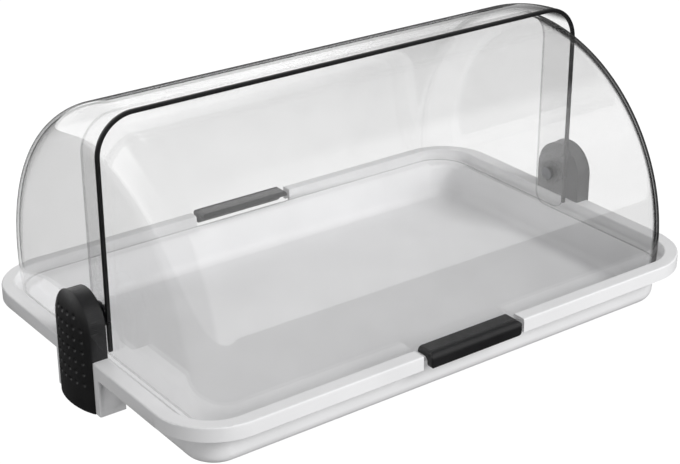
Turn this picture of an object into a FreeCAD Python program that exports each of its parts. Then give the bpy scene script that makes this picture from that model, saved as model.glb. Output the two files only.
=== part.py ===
import FreeCAD, Part
import math
import os
import Sketcher

# Countertop bread display bin: a white moulded tray under two clear quarter-round covers, which
# turn on one pair of pivots. Millimetres. The origin is the centre of the tray's underside, +X runs
# along the pivots, the front is towards -Y and +Z is up.

os.makedirs("parts", exist_ok=True)
doc = FreeCAD.newDocument("bread_bin")
Vector = FreeCAD.Vector

# The driving dimensions, all in the spreadsheet
SIZES = [
    # tray rim
    ("rim_length", 440.0),
    ("rim_width", 286.7),
    ("rim_corner", 44.0),
    ("rim_edge_round", 1.2),
    ("tray_height", 39.5),
    ("skirt_height", 10.1),
    ("skirt_wall", 2.6),
    ("tray_wall", 2.4),
    # recess inside the rim band, which the covers stand in
    ("band_end", 11.5),
    ("band_front", 10.8),
    ("band_rear", 8.8),
    ("recess_corner", 30.0),
    ("recess_depth", 8.5),
    # tub, whose mouth stands in from the rim's edge
    ("tub_end_inset", 19.0),
    ("tub_side_inset", 18.35),
    ("tub_corner", 22.0),
    ("tub_draft_deg", 4.0),
    ("tub_foot_round", 10.0),
    ("tub_floor_round", 7.0),
    ("floor_wall", 3.0),
    # hollow bracket under each end of the rim
    ("bracket_width", 58.0),
    ("bracket_foot", 2.0),
    ("bracket_edge_round", 1.0),
    # covers, which stand in from the rim's edge
    ("pivot_height", 60.3),
    ("cover_inset", 16.8),
    ("cover_wall", 2.0),
    ("cover_foot", 32.2),
    ("panel_corner", 10.0),
    ("panel_gap", 1.7),
    # rear cover: round about the pivots behind, with a flatter crest ahead of a leaning plane
    ("rear_inset", 7.75),
    ("rear_corner", 28.0),
    ("rear_lap", 12.95),
    ("crest_lean_deg", 35.0),
    ("crest_setback", 28.3),
    # front cover: flatter than a circle about the pivots, its top a little below the rear one's
    ("front_radius", 144.5),
    ("front_inset", 11.75),
    ("front_drop", 3.3),
    ("front_corner", 25.0),
    ("front_lap", 13.2),
    # black strip on the rear cover's front edge
    ("seal_depth", 2.0),
    ("seal_proud", 0.2),
    ("seal_foot", 38.5),
    ("seal_gap", 0.05),
    ("seal_joint", 0.8),
    ("seal_end_round", 1.6),
    # pulls on the covers, which reach out from the front cover's face
    ("handle_length", 78.5),
    ("handle_reach", 15.2),
    ("handle_top", 40.8),
    ("handle_flange_wall", 4.0),
    ("handle_lip_wall", 5.2),
    ("handle_lip_lean", 0.8),
    ("handle_lip_bulge", 36.0),
    ("handle_lip_crown", 4.5),
    ("handle_lip_foot", 29.3),
    ("handle_lip_round", 1.6),
    ("handle_inner_round", 3.5),
    ("handle_groove_width", 1.4),
    ("handle_groove_depth", 0.8),
    ("handle_end_round", 2.8),
    ("handle_gap", 0.1),
    ("notch_gap", 4.35),
    # grips at the ends
    ("boss_width", 45.0),
    ("boss_top", 82.3),
    ("boss_wall", 2.6),
    ("boss_hub_radius", 7.5),
    ("plate_width", 40.0),
    ("plate_foot", 5.0),
    ("plate_thickness", 2.0),
    ("pad_width", 46.5),
    ("pad_foot", 1.8),
    ("pad_top", 83.6),
    ("pad_edge", 2.0),
    ("pad_crown", 5.0),
    ("pad_gap", 0.1),
    ("pad_edge_round", 0.9),
    ("pad_foot_round", 3.0),
    ("grip_screw_spread", 17.0),
    ("grip_screw_height", 16.0),
    ("grip_screw_radius", 1.6),
    ("grip_screw_length", 9.0),
    ("grip_screw_head_radius", 3.2),
    ("grip_screw_head_height", 2.0),
    ("grip_screw_head_round", 0.6),
    ("grip_screw_socket_radius", 1.5),
    ("grip_screw_socket_depth", 1.2),
    ("grip_screw_boss_radius", 4.0),
    ("grip_screw_boss_length", 8.0),
    # pivots
    ("pin_radius", 4.0),
    ("pin_head_radius", 5.2),
    ("pin_head_height", 1.8),
    ("pin_head_round", 0.9),
    ("pin_tip_bevel", 0.6),
    ("pin_tip_gap", 1.1),
    ("fit_gap", 0.03),
    ("running_gap", 0.07),
    ("screw_gap", 0.1),
    ("side_gap", 0.25),
    ("bush_radius", 8.0),
    ("washer_radius", 9.0),
    ("washer_thickness", 1.2),
    ("overrun", 30.0),
]

sheet = doc.addObject("Spreadsheet::Sheet", "sizes")
for row, (name, number) in enumerate(SIZES, start=1):
    cell = f"A{row}"
    sheet.set(cell, str(number))
    sheet.setAlias(cell, name)
doc.recompute()


class Size:
    """A size that holds its number and the spreadsheet formula that gives it."""

    def __init__(self, number, formula):
        self.number = float(number)
        self.formula = formula

    def __add__(self, other):
        other = as_size(other)
        return Size(self.number + other.number, f"({self.formula} + {other.formula})")

    def __sub__(self, other):
        other = as_size(other)
        return Size(self.number - other.number, f"({self.formula} - {other.formula})")

    def __mul__(self, other):
        other = as_size(other)
        return Size(self.number * other.number, f"({self.formula} * {other.formula})")

    def __truediv__(self, other):
        other = as_size(other)
        return Size(self.number / other.number, f"({self.formula} / {other.formula})")

    def __neg__(self):
        return Size(-self.number, f"(-({self.formula}))")


def as_size(value):
    """A Size stays as it is, and a plain ratio or zero becomes one."""
    if isinstance(value, Size):
        return value
    return Size(value, repr(float(value)))


def root(size):
    """Square root."""
    return Size(math.sqrt(size.number), f"sqrt({size.formula})")


def tangent(angle):
    """Tangent of an angle in degrees."""
    return Size(math.tan(math.radians(angle.number)), f"tan({angle.formula} * 1 deg)")


def sine(angle):
    """Sine of an angle in degrees."""
    return Size(math.sin(math.radians(angle.number)), f"sin({angle.formula} * 1 deg)")


def cosine(angle):
    """Cosine of an angle in degrees."""
    return Size(math.cos(math.radians(angle.number)), f"cos({angle.formula} * 1 deg)")


def leg(radius, other_leg):
    """The other leg of a right triangle with this hypotenuse: a circle's reach at a height."""
    return root(radius * radius - other_leg * other_leg)


given = {name: Size(number, f"sizes.{name}") for name, number in SIZES}
NONE = as_size(0)


def tie(feature, prop, size):
    """Bind a property of a feature to the spreadsheet."""
    feature.setExpression(prop, as_size(size).formula)


# Sketches: each corner of an outline is tied to the spreadsheet
def new_body(label):
    body = doc.addObject("PartDesign::Body", label)
    body.Label = label
    return body


def sketch_on(body, role, offset=NONE):
    """A sketch on one of the body's origin planes, moved along the plane's normal."""
    plane = next(part for part in body.Origin.OriginFeatures if part.Role == role)
    sketch = body.newObject("Sketcher::SketchObject", f"{body.Label}_sketch")
    sketch.AttachmentSupport = [(plane, "")]
    sketch.MapMode = "FlatFace"
    tie(sketch, ".AttachmentOffset.Base.z", offset)
    return sketch


def bulge_point(start, end, radius):
    """Middle of the short arc from start to end that bulges to the right of its travel."""
    chord = end - start
    half = chord.Length / 2
    sagitta = radius - math.sqrt(max(radius * radius - half * half, 0.0))
    right = Vector(chord.y, -chord.x, 0).normalize()
    return start + chord * 0.5 + right * sagitta


def outline(sketch, corners):
    """Closed outline. A corner is (across, up) with a line on to the next corner, or
    (across, up, radius, way) with an arc, which bulges outwards or inwards of an outline
    drawn counter-clockwise."""
    ends = []
    points = [Vector(corner[0].number, corner[1].number, 0) for corner in corners]
    for index, corner in enumerate(corners):
        start = points[index]
        end = points[(index + 1) % len(corners)]
        if len(corner) == 2:
            edge = sketch.addGeometry(Part.LineSegment(start, end), False)
            ends.append((edge, 1, 2))
            continue
        radius, way = corner[2], corner[3]
        if way == "out":
            middle = bulge_point(start, end, radius.number)
            edge = sketch.addGeometry(Part.Arc(start, middle, end), False)
            ends.append((edge, 1, 2))
        else:
            middle = bulge_point(end, start, radius.number)
            edge = sketch.addGeometry(Part.Arc(end, middle, start), False)
            ends.append((edge, 2, 1))
        number = sketch.addConstraint(Sketcher.Constraint("Radius", edge, radius.number))
        tie(sketch, f"Constraints[{number}]", radius)
    for index, corner in enumerate(corners):
        edge, start, _ = ends[index]
        before, _, end = ends[index - 1]
        sketch.addConstraint(Sketcher.Constraint("Coincident", before, end, edge, start))
        for kind, size in (("DistanceX", corner[0]), ("DistanceY", corner[1])):
            constraint = Sketcher.Constraint(kind, -1, 1, edge, start, size.number)
            number = sketch.addConstraint(constraint)
            tie(sketch, f"Constraints[{number}]", size)


def circle(sketch, across, up, radius):
    """Circle with its centre and radius tied."""
    centre = Vector(across.number, up.number, 0)
    edge = sketch.addGeometry(Part.Circle(centre, Vector(0, 0, 1), radius.number), False)
    rules = (
        (Sketcher.Constraint("Radius", edge, radius.number), radius),
        (Sketcher.Constraint("DistanceX", -1, 1, edge, 3, across.number), across),
        (Sketcher.Constraint("DistanceY", -1, 1, edge, 3, up.number), up),
    )
    for constraint, size in rules:
        number = sketch.addConstraint(constraint)
        tie(sketch, f"Constraints[{number}]", size)


def rectangle(sketch, left, right, low, high):
    outline(sketch, [(left, low), (right, low), (right, high), (left, high)])


def rounded_rectangle(sketch, right, front, rear, corner):
    """Round-cornered rectangle, as wide left as right, with its front and rear sides given."""
    outline(sketch, [
        (corner - right, -front),
        (right - corner, -front, corner, "out"),
        (right, corner - front),
        (right, rear - corner, corner, "out"),
        (right - corner, rear),
        (corner - right, rear, corner, "out"),
        (-right, rear - corner),
        (-right, corner - front, corner, "out"),
    ])


def tongue(sketch, half_width, foot, top):
    """Upright tongue with a half-round top."""
    shoulder = top - half_width
    outline(sketch, [
        (-half_width, foot),
        (half_width, foot),
        (half_width, shoulder, half_width, "out"),
        (NONE, top, half_width, "out"),
        (-half_width, shoulder),
    ])


# Solid features
def extrude(body, kind, sketch, length, midplane=False, reverse=False, taper=None):
    feature = body.newObject(f"PartDesign::{kind}", f"{body.Label}_{kind.lower()}")
    feature.Profile = sketch
    tie(feature, "Length", length)
    feature.Midplane = midplane
    feature.Reversed = reverse
    if taper is not None:
        tie(feature, "TaperAngle", taper)
    sketch.Visibility = False
    doc.recompute()
    return feature


def revolve(body, kind, sketch, axis="H_Axis", degrees=360, reverse=False):
    feature = body.newObject(f"PartDesign::{kind}", f"{body.Label}_{kind.lower()}")
    feature.Profile = sketch
    feature.ReferenceAxis = (sketch, [axis])
    feature.Angle = degrees
    feature.Reversed = reverse
    sketch.Visibility = False
    doc.recompute()
    return feature


def round_edges(body, radius, wanted):
    """Fillet every edge of the body so far that the test picks."""
    tip = body.Tip
    names = [
        f"Edge{number}"
        for number, edge in enumerate(tip.Shape.Edges, start=1)
        if wanted(edge.BoundBox)
    ]
    if not names:
        raise ValueError(f"no edge to round on {body.Label}")
    feature = body.newObject("PartDesign::Fillet", f"{body.Label}_fillet")
    feature.Base = (tip, names)
    tie(feature, "Radius", radius)
    doc.recompute()
    return feature


TOUCH_SHARE = 1e-6
TOUCH = given["rim_length"].number * TOUCH_SHARE


def at(value, size):
    """True where a coordinate lies at a size."""
    return abs(value - as_size(size).number) < TOUCH


def level(box, height):
    """True for an edge that lies at one height."""
    return at(box.ZMin, height) and at(box.ZMax, height)


# Shared places, all worked out from the sizes
rim_end = given["rim_length"] / 2
rim_side = given["rim_width"] / 2
rim_foot = given["tray_height"] - given["skirt_height"]
ledge = given["tray_height"] - given["recess_depth"]
recess_end = rim_end - given["band_end"]
recess_front = rim_side - given["band_front"]
recess_rear = rim_side - given["band_rear"]
pivot = given["pivot_height"]

rear_end = rim_end - given["cover_inset"]
rear_inner_end = rear_end - given["cover_wall"]
front_end = rear_inner_end - given["panel_gap"]
front_inner_end = front_end - given["cover_wall"]
rear_radius = rim_side - given["rear_inset"]
rear_corner = given["rear_corner"]
crest_lean = given["crest_lean_deg"]
crest_radius = rear_radius + given["crest_setback"]
crest_back = -given["crest_setback"] * sine(crest_lean)
crest_up = pivot - given["crest_setback"] * cosine(crest_lean)
front_radius = given["front_radius"]
front_reach = rim_side - given["front_inset"]
front_back = front_radius - front_reach
front_up = pivot + rear_radius - given["front_drop"] - front_radius
handle_face = front_reach + given["handle_reach"]
hole_radius = given["pin_radius"] + given["running_gap"]

handle_half = given["handle_length"] / 2
notch_half = handle_half + given["notch_gap"]
grip_screw_half = given["grip_screw_spread"] / 2


# Tray
def make_tray():
    body = new_body("tray")
    half_length = rim_end - given["tub_end_inset"]
    half_width = rim_side - given["tub_side_inset"]
    draft = given["tub_draft_deg"]
    spread = ledge * tangent(draft)

    foot = sketch_on(body, "XY_Plane")
    rounded_rectangle(foot, half_length, half_width, half_width, given["tub_corner"])
    extrude(body, "Pad", foot, ledge, taper=draft)
    round_edges(body, given["tub_foot_round"], lambda box: level(box, NONE))

    rim = sketch_on(body, "XY_Plane", rim_foot)
    rounded_rectangle(rim, rim_end, rim_side, rim_side, given["rim_corner"])
    extrude(body, "Pad", rim, given["skirt_height"])

    wall = given["skirt_wall"]
    groove = sketch_on(body, "XY_Plane", rim_foot)
    rounded_rectangle(groove, rim_end - wall, rim_side - wall, rim_side - wall,
                      given["rim_corner"] - wall)
    rounded_rectangle(groove, recess_end + wall, recess_front + wall, recess_rear + wall,
                      given["recess_corner"] + wall)
    extrude(body, "Pocket", groove, given["skirt_height"] - given["tray_wall"], reverse=True)

    shelf = sketch_on(body, "XY_Plane", ledge - given["tray_wall"])
    rounded_rectangle(shelf, recess_end + wall, recess_front + wall, recess_rear + wall,
                      given["recess_corner"] + wall)
    extrude(body, "Pad", shelf, given["tray_wall"])

    bracket = sketch_on(body, "XY_Plane", given["bracket_foot"])
    bracket_half = given["bracket_width"] / 2
    for near, far in ((half_length, rim_end), (-rim_end, -half_length)):
        rectangle(bracket, near, far, -bracket_half, bracket_half)
    extrude(body, "Pad", bracket, rim_foot - given["bracket_foot"])
    round_edges(body, given["bracket_edge_round"],
                lambda box: at(box.ZMin, given["bracket_foot"]) and at(box.ZMax, rim_foot)
                and at(abs(box.Center.x), rim_end))

    hollow = sketch_on(body, "XY_Plane", given["bracket_foot"])
    inner_half = bracket_half - wall
    near = half_length + spread
    far = rim_end - wall
    rectangle(hollow, near, far, -inner_half, inner_half)
    rectangle(hollow, -far, -near, -inner_half, inner_half)
    extrude(body, "Pocket", hollow, rim_foot - given["bracket_foot"], reverse=True)

    recess = sketch_on(body, "XY_Plane", given["tray_height"])
    rounded_rectangle(recess, recess_end, recess_front, recess_rear, given["recess_corner"])
    extrude(body, "Pocket", recess, given["recess_depth"])

    round_edges(body, given["rim_edge_round"], lambda box: level(box, given["tray_height"]))

    mouth = sketch_on(body, "XY_Plane", ledge)
    inset = spread - given["tray_wall"]
    rounded_rectangle(mouth, half_length + inset, half_width + inset, half_width + inset,
                      given["tub_corner"] + inset)
    extrude(body, "Pocket", mouth, ledge - given["floor_wall"], taper=-draft)
    round_edges(body, given["tub_floor_round"], lambda box: level(box, given["floor_wall"]))

    notch = sketch_on(body, "XY_Plane", given["tray_height"])
    beyond = rim_side + given["overrun"]
    rectangle(notch, -notch_half, notch_half, -beyond, -recess_front)
    rectangle(notch, -notch_half, notch_half, recess_rear, beyond)
    extrude(body, "Pocket", notch, given["recess_depth"] + given["tray_wall"])

    for side in (1, -1):
        post = sketch_on(body, "YZ_Plane", (rim_end - wall) * side)
        bore = sketch_on(body, "YZ_Plane", rim_end * side)
        for place in (-grip_screw_half, grip_screw_half):
            circle(post, place, given["grip_screw_height"], given["grip_screw_boss_radius"])
            circle(bore, place, given["grip_screw_height"],
                   given["grip_screw_radius"] + given["screw_gap"])
        extrude(body, "Pad", post, given["grip_screw_boss_length"], reverse=side > 0)
        extrude(body, "Pocket", bore, wall + given["grip_screw_boss_length"], reverse=side < 0)
    return body


# Covers
def arch(body, end, radius, corner, wall, back, up, lean=NONE, degrees=360, reverse=False):
    """Round-cornered wall turned about the line at (back, up), parallel to the pivots. Its
    section leans towards the rear."""
    inner_end = end - wall
    inner_radius = radius - wall
    inner_corner = corner - wall
    shell = sketch_on(body, "XZ_Plane", -back)
    shell.AttachmentOffset = FreeCAD.Placement(
        Vector(0, up.number, -back.number), FreeCAD.Rotation(Vector(-1, 0, 0), lean.number))
    tie(shell, ".AttachmentOffset.Base.y", up)
    tie(shell, ".AttachmentOffset.Rotation.Angle", lean)
    outline(shell, [
        (end, NONE),
        (end, radius - corner, corner, "out"),
        (end - corner, radius),
        (corner - end, radius, corner, "out"),
        (-end, radius - corner),
        (-end, NONE),
        (-inner_end, NONE),
        (-inner_end, radius - corner, inner_corner, "in"),
        (inner_corner - inner_end, inner_radius),
        (inner_end - inner_corner, inner_radius, inner_corner, "in"),
        (inner_end, radius - corner),
        (inner_end, NONE),
    ])
    return revolve(body, "Revolution", shell, degrees=degrees, reverse=reverse)


def make_cover(label, end, lap, way):
    """Quarter-round cover: turned walls cut along two planes. way is 1 for the cover at the
    rear and -1 for the one at the front."""
    wall = given["cover_wall"]
    body = new_body(label)
    if way > 0:
        arch(body, end, crest_radius, rear_corner, wall, crest_back, crest_up, crest_lean, 180)
        arch(body, end, rear_radius, rear_corner, wall, NONE, pivot, crest_lean, 180, True)
    else:
        arch(body, end, front_radius, given["front_corner"], wall, front_back, front_up)

    beyond = crest_radius + front_radius + given["overrun"]
    turn = given["panel_corner"]
    foot = given["cover_foot"]
    high = pivot + beyond
    low = pivot - beyond
    edge = -lap * way
    cut = sketch_on(body, "YZ_Plane")
    if way > 0:
        outline(cut, [
            (edge, high),
            (-beyond, high),
            (-beyond, low),
            (beyond, low),
            (beyond, foot),
            (edge + turn, foot, turn, "in"),
            (edge, foot + turn),
        ])
    else:
        outline(cut, [
            (edge, high),
            (edge, foot + turn, turn, "in"),
            (edge - turn, foot),
            (-beyond, foot),
            (-beyond, low),
            (beyond, low),
            (beyond, high),
        ])
    extrude(body, "Pocket", cut, (end + given["overrun"]) * 2, midplane=True)

    bore = sketch_on(body, "YZ_Plane")
    circle(bore, NONE, pivot, hole_radius)
    extrude(body, "Pocket", bore, (end + given["overrun"]) * 2, midplane=True)

    return body


# Black strip on the rear cover's front edge
def make_seal(label, low, high):
    """Strip between two heights, along the rear cover's cut edge and a little thicker than it."""
    proud = given["seal_proud"]
    turn = given["seal_end_round"]
    face = -given["rear_lap"] - given["seal_gap"]
    front = face - given["seal_depth"]
    beyond = crest_radius + given["overrun"]
    end = rear_end + proud
    body = new_body(label)
    arch(body, end, crest_radius + proud, rear_corner + proud, given["cover_wall"] + proud * 2,
         crest_back, crest_up)
    cut = sketch_on(body, "YZ_Plane")
    rectangle(cut, -beyond, beyond, pivot - beyond, pivot + beyond)
    outline(cut, [
        (front + turn, low),
        (face, low),
        (face, high),
        (front, high),
        (front, low + turn, turn, "out"),
    ])
    extrude(body, "Pocket", cut, (end + given["overrun"]) * 2, midplane=True)
    return body


# Pulls
def make_handle(label, radius, setback, up):
    """Pull that reaches out from a cover: a flange, a groove and a rounded lip to lift by.
    The cover's wall is round about a line that lies this far behind the pivots, and this high."""
    top = given["handle_top"]
    under = top - given["handle_flange_wall"]
    carrier = radius + given["handle_gap"]
    back_high = leg(carrier, up - top) - setback
    back_low = leg(carrier, up - under) - setback
    reach = handle_face
    lip = reach - given["handle_lip_wall"]
    foot = given["handle_lip_foot"]
    turn = given["handle_lip_round"]
    bend = given["handle_inner_round"]
    face = reach - given["handle_lip_lean"]
    groove = lip + given["handle_groove_width"]
    bulge = given["handle_lip_bulge"]
    body = new_body(label)
    section = sketch_on(body, "YZ_Plane")
    outline(section, [
        (back_low, under),
        (lip - bend, under, bend, "in"),
        (lip, under - bend),
        (lip, foot + turn, turn, "out"),
        (lip + turn, foot),
        (face - turn, foot, turn, "out"),
        (face, foot + turn),
        (reach, bulge, given["handle_lip_crown"], "out"),
        (groove, top),
        (back_high, top, carrier, "in"),
    ])
    extrude(body, "Pad", section, given["handle_length"], midplane=True)
    round_edges(body, given["handle_end_round"],
                lambda box: at(abs(box.Center.x), handle_half) and at(box.XLength, NONE)
                and box.ZMin > foot.number + TOUCH and box.YMax > face.number + TOUCH
                or level(box, top) and at(box.XLength, NONE))
    channel = sketch_on(body, "YZ_Plane")
    outline(channel, [
        (lip, top),
        ((lip + groove) / 2, top - given["handle_groove_depth"]),
        (groove, top),
        (groove, top + given["handle_groove_depth"]),
        (lip, top + given["handle_groove_depth"]),
    ])
    extrude(body, "Pocket", channel, given["handle_length"] * 2, midplane=True)
    return body


# Grips on the tray's ends. Each piece is made for the right end
boss_face = recess_end
body_seat = rim_end + given["fit_gap"]
plate_face = body_seat + given["plate_thickness"]
pad_seat = body_seat + given["pad_gap"]
pad_shoulder = given["pad_top"] - given["pad_width"] / 2
plate_top = pad_shoulder + given["plate_width"] / 2
pin_tip = plate_face - given["pin_tip_gap"]


def make_grip_body(label):
    """Hollow boss that stands on the rim and holds the pivot pin, and the plate below it."""
    wall = given["boss_wall"]
    boss_foot = given["tray_height"] + given["fit_gap"]
    body = new_body(label)
    boss = sketch_on(body, "YZ_Plane", boss_face)
    tongue(boss, given["boss_width"] / 2, boss_foot, given["boss_top"])
    extrude(body, "Pad", boss, body_seat - boss_face)
    plate = sketch_on(body, "YZ_Plane", body_seat)
    tongue(plate, given["plate_width"] / 2, given["plate_foot"], plate_top)
    extrude(body, "Pad", plate, given["plate_thickness"])
    hollow = sketch_on(body, "YZ_Plane", plate_face)
    tongue(hollow, given["plate_width"] / 2 - wall, boss_foot + wall, plate_top - wall)
    circle(hollow, NONE, pivot, given["boss_hub_radius"])
    extrude(body, "Pocket", hollow, plate_face - boss_face - wall)
    holes = sketch_on(body, "YZ_Plane", plate_face)
    circle(holes, NONE, pivot, given["pin_radius"] + given["fit_gap"])
    for place in (-grip_screw_half, grip_screw_half):
        circle(holes, place, given["grip_screw_height"],
               given["grip_screw_radius"] + given["screw_gap"])
    extrude(body, "Pocket", holes, plate_face - boss_face)
    return body


def make_grip_pad(label):
    """Domed hand pad that caps the plate, half-round at the top."""
    half = given["pad_width"] / 2
    edge = pad_seat + given["pad_edge"]
    crown = edge + given["pad_crown"]
    dome = (given["pad_crown"] * given["pad_crown"] + half * half) / (given["pad_crown"] * 2)
    body = new_body(label)
    column = sketch_on(body, "XY_Plane", given["pad_foot"])
    outline(column, [
        (pad_seat, -half),
        (edge, -half, dome, "out"),
        (edge, half),
        (pad_seat, half),
    ])
    extrude(body, "Pad", column, pad_shoulder - given["pad_foot"])
    cap = sketch_on(body, "XY_Plane", pad_shoulder)
    outline(cap, [
        (pad_seat, NONE),
        (crown, NONE, dome, "out"),
        (edge, half),
        (pad_seat, half),
    ])
    revolve(body, "Revolution", cap, degrees=180)
    round_edges(body, given["pad_foot_round"],
                lambda box: level(box, given["pad_foot"]) and box.XMax > edge.number + TOUCH)
    round_edges(body, given["pad_edge_round"],
                lambda box: at(box.XMin, edge) and at(box.XMax, edge))
    gap = given["pad_gap"]
    seat = sketch_on(body, "YZ_Plane", pad_seat)
    tongue(seat, given["plate_width"] / 2 + gap, given["plate_foot"] - gap, plate_top + gap)
    extrude(body, "Pocket", seat, given["plate_thickness"], reverse=True)
    heads = sketch_on(body, "YZ_Plane", pad_seat)
    for place in (-grip_screw_half, grip_screw_half):
        circle(heads, place, given["grip_screw_height"], given["grip_screw_head_radius"] + gap * 2)
    extrude(body, "Pocket", heads, given["plate_thickness"] + given["grip_screw_head_height"],
            reverse=True)
    return body


def make_grip_screws(label):
    """Two screws that hold a grip's plate to the bracket under the rim."""
    body = new_body(label)
    body.AllowCompound = True
    length = given["grip_screw_length"]
    height = given["grip_screw_height"]
    head = given["grip_screw_head_height"]
    shank = sketch_on(body, "YZ_Plane", plate_face - length)
    cap = sketch_on(body, "YZ_Plane", plate_face)
    socket = sketch_on(body, "YZ_Plane", plate_face + head)
    for place in (-grip_screw_half, grip_screw_half):
        circle(shank, place, height, given["grip_screw_radius"])
        circle(cap, place, height, given["grip_screw_head_radius"])
        circle(socket, place, height, given["grip_screw_socket_radius"])
    extrude(body, "Pad", shank, length)
    extrude(body, "Pad", cap, head)
    round_edges(body, given["grip_screw_head_round"],
                lambda box: at(box.XMin, plate_face + head) and at(box.XMax, plate_face + head))
    extrude(body, "Pocket", socket, given["grip_screw_socket_depth"])
    return body


def turned(label, corners):
    """Piece turned round the pivot line from a half section: (along, out from the line)."""
    body = new_body(label)
    section = sketch_on(body, "XY_Plane", pivot)
    outline(section, corners)
    revolve(body, "Revolution", section)
    return body


def make_pin(label):
    """Pivot pin with a rounded head inside the front cover and a bevelled tip in the boss."""
    start = front_inner_end - given["side_gap"]
    radius = given["pin_radius"]
    head = given["pin_head_radius"]
    turn = given["pin_head_round"]
    bevel = given["pin_tip_bevel"]
    outer = start - given["pin_head_height"]
    return turned(label, [
        (outer, NONE),
        (pin_tip, NONE),
        (pin_tip, radius - bevel),
        (pin_tip - bevel, radius),
        (start, radius),
        (start, head),
        (outer + turn, head, turn, "out"),
        (outer, head - turn),
    ])


def make_ring(label, near, far, radius):
    """Plain ring on the pivot pin."""
    bore = hole_radius
    return turned(label, [(near, bore), (far, bore), (far, radius), (near, radius)])


tray = make_tray()
front_cover = make_cover("front_cover", front_end, given["front_lap"], -1)
rear_cover = make_cover("rear_cover", rear_end, given["rear_lap"], 1)
joint_half = given["seal_joint"] / 2
seal_high = pivot + crest_radius + given["overrun"] / 2
pieces = [
    tray,
    front_cover,
    rear_cover,
    make_seal("rear_cover_seal", pivot + joint_half, seal_high),
    make_seal("rear_seal_ends", given["seal_foot"], pivot - joint_half),
    make_handle("front_handle", front_radius, front_back, front_up),
    make_handle("rear_handle", rear_radius, NONE, pivot),
]
HALF_TURN = FreeCAD.Rotation(Vector(0, 0, 1), 180)
pieces[-2].Placement = FreeCAD.Placement(Vector(), HALF_TURN)

bush_near = rear_end + given["side_gap"]
bush_far = boss_face - given["side_gap"]
washer_near = (front_end + rear_inner_end - given["washer_thickness"]) / 2
washer_far = washer_near + given["washer_thickness"]
for side in ("right", "left"):
    end_pieces = [
        make_grip_body(f"{side}_grip_body"),
        make_grip_pad(f"{side}_grip_pad"),
        make_grip_screws(f"{side}_grip_screws"),
        make_pin(f"{side}_pivot_pin"),
        make_ring(f"{side}_spacer_bush", bush_near, bush_far, given["bush_radius"]),
        make_ring(f"{side}_slip_washer", washer_near, washer_far, given["washer_radius"]),
    ]
    if side == "left":
        for piece in end_pieces:
            piece.Placement = FreeCAD.Placement(Vector(), HALF_TURN)
    pieces += end_pieces

doc.recompute()
for thing in doc.Objects:
    if "Invalid" in thing.State or "Error" in thing.State:
        raise ValueError(f"{thing.Label} did not compute: {thing.State}")
for piece in pieces:
    shape = piece.Shape
    if shape.isNull() or not shape.isValid() or not shape.Solids:
        raise ValueError(f"{piece.Label} has no sound solid")
    shape.exportStep(f"parts/{piece.Label}.step")
    box = shape.optimalBoundingBox()
    print(piece.Label, len(shape.Solids), round(shape.Volume, 1),
          [round(value, 2) for value in (box.XMin, box.XMax, box.YMin, box.YMax, box.ZMin, box.ZMax)])
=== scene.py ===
# %% [markdown]
# # Countertop bread display bin
# A white moulded tray carries two clear roll covers, one behind the other. Both turn on a pair of
# pins held by black grips at the tray's ends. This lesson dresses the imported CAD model: it loads the
# frame, remakes the pieces whose curves or texture need it as smooth surfaces, and gives every
# piece a finish. Lengths are written in millimetres and turned to metres by one constant.

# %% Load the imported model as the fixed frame
import math

import bmesh
import bpy
import numpy as np
from mathutils import Matrix, Vector


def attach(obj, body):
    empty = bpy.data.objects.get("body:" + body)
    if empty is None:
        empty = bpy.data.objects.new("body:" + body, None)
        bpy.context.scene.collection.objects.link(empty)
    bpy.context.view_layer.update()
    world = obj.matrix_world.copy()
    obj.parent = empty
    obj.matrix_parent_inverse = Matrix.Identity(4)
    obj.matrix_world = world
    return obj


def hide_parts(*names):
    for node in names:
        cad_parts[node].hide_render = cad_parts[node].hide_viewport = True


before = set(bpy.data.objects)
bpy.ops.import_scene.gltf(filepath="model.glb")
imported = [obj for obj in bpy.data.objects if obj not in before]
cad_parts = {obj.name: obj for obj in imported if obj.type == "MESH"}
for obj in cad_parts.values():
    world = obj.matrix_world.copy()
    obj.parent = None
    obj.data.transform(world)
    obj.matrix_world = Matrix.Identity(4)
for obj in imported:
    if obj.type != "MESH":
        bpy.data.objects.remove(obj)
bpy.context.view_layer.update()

print("nodes:", len(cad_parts))

# %% [markdown]
# ## Units, colours and nodes
# Three helpers serve the whole lesson. One turns an sRGB hex value, as read off a colour card, into
# the linear numbers that shaders use. One adds a shader node with its settings and links in one
# call, so that each material reads as a short list. One gives a mesh to an object at the origin.

# %% Helpers for units, colours and shader nodes
MM = 0.001


def linear(hex_colour):
    """Linear RGBA of an sRGB hex value: below 0.04045 divide by 12.92, above it take the power 2.4."""
    parts = np.array([int(hex_colour[i:i + 2], 16) for i in (1, 3, 5)]) / 255
    low = parts / 12.92
    high = ((parts + 0.055) / 1.055) ** 2.4
    return (*np.where(parts <= 0.04045, low, high).tolist(), 1.0)


def add_node(tree, kind, settings=None, inputs=None, links=None):
    """Add one shader node. Settings are its own options, inputs are plain values and links are
    the output sockets that feed its inputs."""
    node = tree.nodes.new(kind)
    for name, value in (settings or {}).items():
        setattr(node, name, value)
    for name, value in (inputs or {}).items():
        node.inputs[name].default_value = value
    for name, socket in (links or {}).items():
        tree.links.new(socket, node.inputs[name])
    return node


def new_material(name):
    """Empty node material with its output node."""
    material = bpy.data.materials.new(name)
    material.use_nodes = True
    material.node_tree.nodes.clear()
    output = add_node(material.node_tree, "ShaderNodeOutputMaterial")
    return material, material.node_tree, output


def place(tree):
    """Object coordinates: the piece's own place in metres, which moves with the piece."""
    return add_node(tree, "ShaderNodeTexCoord").outputs["Object"]


def speckle(tree, pitch, detail=2.0, roughness=0.5):
    """Noise whose blotches are about this far apart, in metres."""
    return add_node(tree, "ShaderNodeTexNoise",
                    inputs={"Scale": 1 / pitch, "Detail": detail, "Roughness": roughness},
                    links={"Vector": place(tree)}).outputs["Fac"]


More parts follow.
